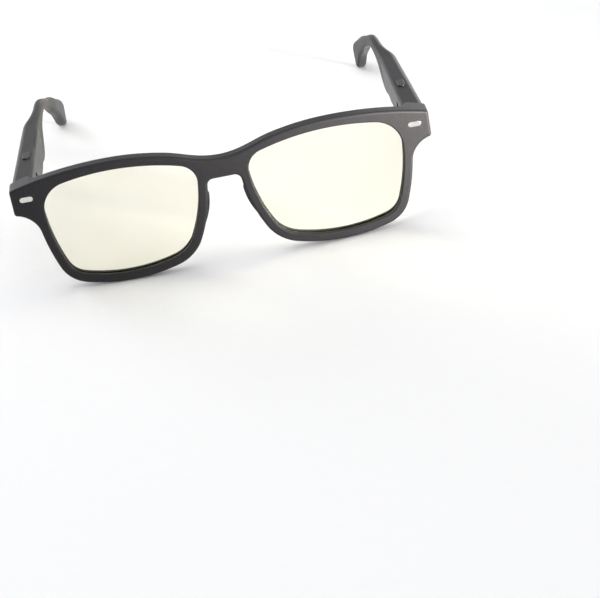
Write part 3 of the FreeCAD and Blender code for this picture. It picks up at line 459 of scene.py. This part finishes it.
for side in SIDES:
    give(f"{side}_contact_panel", panel_skin)
    give(f"{side}_charging_contacts", contact_gold)
    give(f"{side}_magnets", magnet_nickel)
    insert = f"{side}_contact_panel"
    low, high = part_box(insert)
    fall = abs(fall_of(insert))
    straight = ((high.y - low.y) - (high.z - low.z)) / (cos(fall) - sin(fall))
    bead_radius = ((high.z - low.z) - straight * sin(fall)) / 2 - shadow_bead_inset - shadow_bead_width / 2
    turns = [pi * step / bead_steps for step in range(bead_steps + 1)]
    half_round = [(shadow_bead_width / 2 * cos(turn), shadow_bead_height * sin(turn)) for turn in turns]
    shadow_bead = bmesh.new()
    pill_bead(shadow_bead, straight, bead_radius, half_round, on_face(insert))
    new_piece(f"{side}_panel_shadow_bead", shadow_bead, shadow_bead_rubber, f"{side}_temple")

# ---------------------------------------------------------------------------
# Status light: a smoky acrylic rod, moulded and pressed into its hole, that
# carries the light of a lamp on the board out through the front cover.
# ---------------------------------------------------------------------------

rod_dark = (0.15, 0.165, 0.165, 1.0)
rod_pale = (0.24, 0.26, 0.26, 1.0)
cloud_size = 0.0005
light_rod, light_shader = start_finish("smoky light rod", Subsurface_Weight=0.5, Subsurface_Scale=0.001,
                                       Coat_Weight=0.5, Coat_Roughness=0.1)
cloud = speckle(light_rod, cloud_size, 2.0)
join(light_rod, mixed(light_rod, cloud, rod_dark, rod_pale), light_shader.inputs["Base Color"])
join(light_rod, between(light_rod, cloud, 0.22, 0.36), light_shader.inputs["Roughness"])
for side in SIDES:
    give(f"{side}_status_light", light_rod)

# ---------------------------------------------------------------------------
# Circuit boards: glass epoxy with green mask over copper tracks, and black
# moulded chips on the outer face.
# ---------------------------------------------------------------------------

mask_green = (0.006, 0.052, 0.026, 1.0)
mask_green_over_copper = (0.008, 0.070, 0.034, 1.0)
mask_gap = (0.022, 0.13, 0.060, 1.0)
chip_dark = (0.010, 0.010, 0.011, 1.0)
chip_pale = (0.020, 0.020, 0.021, 1.0)
chip_grain = 0.0002
chip_height = 0.00095                  # how far the chips stand out from the board
track_scale = 900.0


def printed_board(name, node):
    """Green mask with tracks on the board itself, and black chip bodies where the part stands further out."""
    finish, shader = start_finish(name)
    where = place(finish)
    low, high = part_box(node)
    axes = add_step(finish, "SeparateXYZ", {"Vector": where})
    outward = add_step(finish, "Math", {0: axes.outputs["X"]}, operation="ABSOLUTE").outputs[0]
    board_face = max(abs(low.x), abs(high.x)) - chip_height
    chip = add_step(finish, "Math", {0: outward, 1: board_face}, operation="GREATER_THAN").outputs[0]
    flat = add_step(finish, "CombineXYZ", {"X": axes.outputs["Y"], "Y": axes.outputs["Z"]}).outputs[0]
    tracks = add_step(finish, "TexBrick", {
        "Vector": flat, "Scale": track_scale, "Mortar Size": 0.02, "Brick Width": 1.6, "Row Height": 0.35,
        "Color1": mask_green, "Color2": mask_green_over_copper, "Mortar": mask_gap}).outputs["Color"]
    mould = mixed(finish, speckle(finish, chip_grain, 2.0, where), chip_dark, chip_pale)
    join(finish, mixed(finish, chip, tracks, mould), shader.inputs["Base Color"])
    join(finish, between(finish, chip, 0.28, 0.55, 0.0, 1.0), shader.inputs["Roughness"])
    return finish


for side in SIDES:
    give(f"{side}_circuit_board", printed_board(f"{side} circuit board", f"{side}_circuit_board"))

# ---------------------------------------------------------------------------
# Battery and flex cable: a pouch cell in crinkled aluminium foil, and an amber
# polyimide film with copper lines that joins board, cell and speaker.
# ---------------------------------------------------------------------------

foil_dark = (0.62, 0.63, 0.65, 1.0)
foil_pale = (0.78, 0.79, 0.80, 1.0)
crinkle_depth = 0.00005
crinkle_scale = 900.0
cell_foil, foil_shader = start_finish("crinkled cell foil", Metallic=1.0)
crinkle = add_step(cell_foil, "TexVoronoi", {"Vector": place(cell_foil), "Scale": crinkle_scale})
crinkle = crinkle.outputs["Distance"]
join(cell_foil, mixed(cell_foil, crinkle, foil_dark, foil_pale), foil_shader.inputs["Base Color"])
join(cell_foil, between(cell_foil, crinkle, 0.26, 0.40, 0.0, 0.8), foil_shader.inputs["Roughness"])
join(cell_foil, raised(cell_foil, crinkle, crinkle_depth, 0.4), foil_shader.inputs["Normal"])

film_amber = (0.30, 0.11, 0.018, 1.0)
film_copper = (0.46, 0.20, 0.05, 1.0)
film_haze_size = 0.0006
line_scale = 700.0
flex_film, film_shader = start_finish("amber flex film", Coat_Weight=0.3, Coat_Roughness=0.15)
lines = add_step(flex_film, "TexWave", {"Vector": place(flex_film), "Scale": line_scale, "Distortion": 0.0},
                 bands_direction="Z").outputs["Fac"]
copper = between(flex_film, lines, 0.0, 1.0, 0.45, 0.55)
join(flex_film, mixed(flex_film, copper, film_amber, film_copper), film_shader.inputs["Base Color"])
film_haze = speckle(flex_film, film_haze_size)
join(flex_film, between(flex_film, film_haze, 0.25, 0.38), film_shader.inputs["Roughness"])
for side in SIDES:
    give(f"{side}_battery", cell_foil)
    give(f"{side}_flex_cable", flex_film)

# ---------------------------------------------------------------------------
# Speaker, microphone and key switch: small bought-in parts in stamped steel,
# brass and black plastic, and the moulded key that stands on the switch and
# shows on the temple's upper edge.
# ---------------------------------------------------------------------------

speaker_steel = pitted_metal("speaker can steel", (0.45, 0.45, 0.46), roughness=0.32, pit_size=0.00010)
microphone_brass = brushed_metal("microphone can", (0.80, 0.74, 0.56), roughness=0.28,
                                 scratch_width=0.00006, scratch_depth=0.00001)
switch_skin = soft_touch("switch plastic", dark=(0.0100, 0.0100, 0.0108),
                         pale=(0.0150, 0.0150, 0.0158), edge=(0.03, 0.03, 0.03),
                         grain=0.00002, roughness=0.40, sheen=0.0)
key_skin = soft_touch("key plastic", dark=(0.0052, 0.0052, 0.0058),
                      pale=(0.0090, 0.0090, 0.0096), edge=(0.05, 0.05, 0.052),
                      grain=0.00003, roughness=0.40, sheen=0.06)
for side in SIDES:
    give(f"{side}_speaker", speaker_steel)
    give(f"{side}_microphone", microphone_brass)
    give(f"{side}_key_switch", switch_skin)
    give(f"{side}_key", key_skin)

# ---------------------------------------------------------------------------
# Sound outlet: blackened steel wire in a plain weave, held in a rolled rim and
# pressed into the opening on the underside of the temple.
# ---------------------------------------------------------------------------

wire_steel = pitted_metal("blackened wire", (0.16, 0.16, 0.165), roughness=0.42, pit_size=0.00005)

wire_pitch = 0.00024
wire_radius = 0.000048
wire_wave = 0.00005                    # how far a wire swings to each side as it passes over and under
wire_sides = 6
wire_steps = 4                         # points from one crossing to the next
rim_band = 0.00028                     # width of the rolled rim
rim_hold = 0.7                         # share of that width at which the wires end inside it
rim_rise = 0.3                         # half the rim's height, as a share of the outlet's thickness
rim_corner = 0.6                       # where its corners are broken, as a share of its half width and height
rim_clearance = 0.00002                # between the rim and the wall of its opening


def wire(work, points, placing):
    """A thin round wire along points that lie close to a straight line."""
    rings = []
    for number, point in enumerate(points):
        heading = (points[min(number + 1, len(points) - 1)] - points[max(number - 1, 0)]).normalized()
        beside = heading.cross(Vector((0.0, 0.0, 1.0))).normalized()
        up = beside.cross(heading)
        turns = [2 * pi * step / wire_sides for step in range(wire_sides)]
        rings.append([work.verts.new(placing @ (point + (beside * cos(turn) + up * sin(turn)) * wire_radius))
                      for turn in turns])
    for near, far in zip(rings, rings[1:]):
        for step in range(wire_sides):
            work.faces.new((near[step - 1], near[step], far[step], far[step - 1]))
    work.faces.new(rings[0])
    work.faces.new(list(reversed(rings[-1])))


def woven(work, straight, radius, placing):
    """Wires both ways over a pill shape, each passing over one and under the next."""
    reach = straight / 2 + radius
    for lengthwise in (True, False):
        most = int((radius if lengthwise else reach) / wire_pitch)
        for number in range(-most, most + 1):
            offset = number * wire_pitch
            if lengthwise:
                half = straight / 2 + sqrt(radius ** 2 - offset ** 2)
            else:
                past = max(0.0, abs(offset) - straight / 2)
                half = sqrt(radius ** 2 - past ** 2)
            steps = max(2, round(2 * half / wire_pitch * wire_steps))
            points = []
            for step in range(steps + 1):
                run = -half + 2 * half * step / steps
                swing = wire_wave * cos(pi * run / wire_pitch + pi * number)
                points.append(Vector((run, offset, swing)) if lengthwise else Vector((offset, run, -swing)))
            wire(work, points, placing)


for side in SIDES:
    plain_plate = f"{side}_speaker_mesh"
    low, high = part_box(plain_plate)
    fall = fall_of(plain_plate)
    along = Vector((0.0, cos(fall), sin(fall)))
    out = Vector((1.0, 0.0, 0.0)).cross(along)
    if out.z > 0:
        out = -out
    axes = Matrix((along, out.cross(along), out)).transposed().to_4x4()
    placing = Matrix.Translation((low + high) / 2) @ axes
    plate_radius = (high.x - low.x) / 2
    plate_straight = 2 * ((high.y - low.y) / 2 - plate_radius) / cos(fall)
    plate_thickness = ((high.z - low.z) - (plate_straight + 2 * plate_radius) * abs(sin(fall))) / cos(fall)
    outlet = bmesh.new()
    woven(outlet, plate_straight, plate_radius - rim_band * rim_hold, placing)
    half_band = rim_band / 2
    corners = ((1.0, -rim_corner), (1.0, rim_corner), (rim_corner, 1.0), (-rim_corner, 1.0),
               (-1.0, rim_corner), (-1.0, -rim_corner), (-rim_corner, -1.0), (rim_corner, -1.0))
    rolled = [(half_band * across, plate_thickness * rim_rise * up) for across, up in corners]
    pill_bead(outlet, plate_straight, plate_radius - half_band - rim_clearance, rolled, placing)
    weave = new_piece(f"{side}_outlet_weave", outlet, wire_steel, f"{side}_temple")
    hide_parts(plain_plate)

# ---------------------------------------------------------------------------
# Floor, lamps and camera: a sweep of white paper that fades into a pale room.
# A wide lamp hangs above and behind, one stands at the rear left, and two warm
# ones at the right: a weak box, and a far low beam on the right end piece.
# ---------------------------------------------------------------------------

horizon_glow = 0.99
zenith_glow = 0.62
air_colour = (0.985, 0.99, 1.0, 1.0)
paper_dark = (0.895, 0.895, 0.90, 1.0)
paper_pale = (0.915, 0.915, 0.92, 1.0)
floor_reach = 6.0
fibre_size = 0.002
sweep_start = 0.22                     # how far from its middle the paper starts to fade
sweep_end = 1.3                        # and how far from it the horizon's glow has taken over

floor_corners = [(-floor_reach, -floor_reach, 0.0), (floor_reach, -floor_reach, 0.0),
                 (floor_reach, floor_reach, 0.0), (-floor_reach, floor_reach, 0.0)]
floor_mesh = bpy.data.meshes.new("floor")
floor_mesh.from_pydata(floor_corners, [], [(0, 1, 2, 3)])
floor = bpy.data.objects.new("floor", floor_mesh)
bpy.context.scene.collection.objects.link(floor)
paper, paper_shader = start_finish("white paper", Specular_IOR_Level=0.2)
fibre = speckle(paper, fibre_size, 3.0)
join(paper, mixed(paper, fibre, paper_dark, paper_pale), paper_shader.inputs["Base Color"])
join(paper, between(paper, fibre, 0.7, 0.8), paper_shader.inputs["Roughness"])
from_middle = add_step(paper, "VectorMath", {0: place(paper)}, operation="LENGTH").outputs["Value"]
far = add_step(paper, "MapRange", {"Value": from_middle, "From Min": sweep_start, "From Max": sweep_end},
               interpolation_type="SMOOTHSTEP").outputs["Result"]
glow = add_step(paper, "Emission", {"Color": air_colour, "Strength": horizon_glow}).outputs[0]
sweep = add_step(paper, "MixShader", {0: far, 1: paper_shader.outputs[0], 2: glow}).outputs[0]
join(paper, sweep, paper.node_tree.nodes["Material Output"].inputs["Surface"])
floor_mesh.materials.append(paper)

fade_low = 0.12                        # height of a direction where the horizon's glow starts to fade
fade_high = 0.45                       # and where it has gone over to the zenith's

room = bpy.data.worlds.new("studio")
room.use_nodes = True
air = room.node_tree
upward = air.nodes.new("ShaderNodeSeparateXYZ")
air.links.new(air.nodes.new("ShaderNodeTexCoord").outputs["Generated"], upward.inputs[0])
fade = air.nodes.new("ShaderNodeMapRange")
fade.interpolation_type = "SMOOTHSTEP"
fade.inputs["From Min"].default_value = fade_low
fade.inputs["From Max"].default_value = fade_high
fade.inputs["To Min"].default_value = horizon_glow
fade.inputs["To Max"].default_value = zenith_glow
air.links.new(upward.outputs["Z"], fade.inputs["Value"])
air.links.new(fade.outputs[0], air.nodes["Background"].inputs["Strength"])
air.nodes["Background"].inputs["Color"].default_value = air_colour
bpy.context.scene.world = room


def put_up(lamp, at, towards, watts, colour):
    """Stands a lamp at a point, turned to face another. The camera doesn't see it."""
    lamp.energy = watts
    lamp.color = colour
    stand = bpy.data.objects.new(lamp.name, lamp)
    stand.location = at
    stand.visible_camera = False
    stand.rotation_euler = (Vector(towards) - Vector(at)).to_track_quat("-Z", "Y").to_euler()
    bpy.context.scene.collection.objects.link(stand)


def soft_box(name, width, height):
    """A rectangular lamp behind a cloth."""
    lamp = bpy.data.lights.new(name, "AREA")
    lamp.shape = "RECTANGLE"
    lamp.size = width
    lamp.size_y = height
    return lamp


def soft_beam(name, spread, radius):
    """A lamp with a narrow beam that is brightest in the middle and has no edge."""
    lamp = bpy.data.lights.new(name, "SPOT")
    lamp.spot_size = spread
    lamp.spot_blend = 1.0
    lamp.shadow_soft_size = radius
    return lamp


put_up(soft_box("overhead lamp", 2.8, 2.6), at=(-0.5, 0.5, 2.2), towards=(0.0, 0.0, 0.0),
       watts=22.5, colour=(1.0, 1.0, 1.0))
put_up(soft_box("right lamp", 0.40, 0.5), at=(0.78, -1.12, 0.20), towards=(0.06, -0.08, 0.01),
       watts=4.0, colour=(1.0, 0.965, 0.92))
put_up(soft_box("rear lamp", 0.7, 0.6), at=(-0.95, 1.15, 0.55), towards=(0.0, 0.0, 0.02),
       watts=11.0, colour=(0.96, 0.98, 1.0))
put_up(soft_beam("right beam", radians(10.5), 0.045), at=(1.145, -1.08, 0.055), towards=(0.085, -0.02, 0.075),
       watts=850.0, colour=(1.0, 0.95, 0.89))

view_distance = 0.60
view_azimuth = radians(-0.86)
view_elevation = radians(29.93)
view_roll = radians(10.67)
view_centre = Vector((0.0162, -0.1293, 0.0146))
view_lens = 118.74
film_width = 36.0
away = Vector((cos(view_elevation) * sin(view_azimuth), -cos(view_elevation) * cos(view_azimuth),
               sin(view_elevation)))
level_right = Vector((0.0, 0.0, 1.0)).cross(away).normalized()
level_up = away.cross(level_right)
view_up = level_up * cos(view_roll) + level_right * sin(view_roll)
view_right = view_up.cross(away)
camera_lens = bpy.data.cameras.new("camera")
camera_lens.lens = view_lens
camera_lens.sensor_width = film_width
camera_lens.clip_start = 0.01
camera = bpy.data.objects.new("camera", camera_lens)
view_axes = Matrix((view_right, view_up, away)).transposed().to_4x4()
camera.matrix_world = Matrix.Translation(view_centre + away * view_distance) @ view_axes
bpy.context.scene.collection.objects.link(camera)
bpy.context.scene.camera = camera
bpy.context.scene.view_settings.view_transform = "Standard"
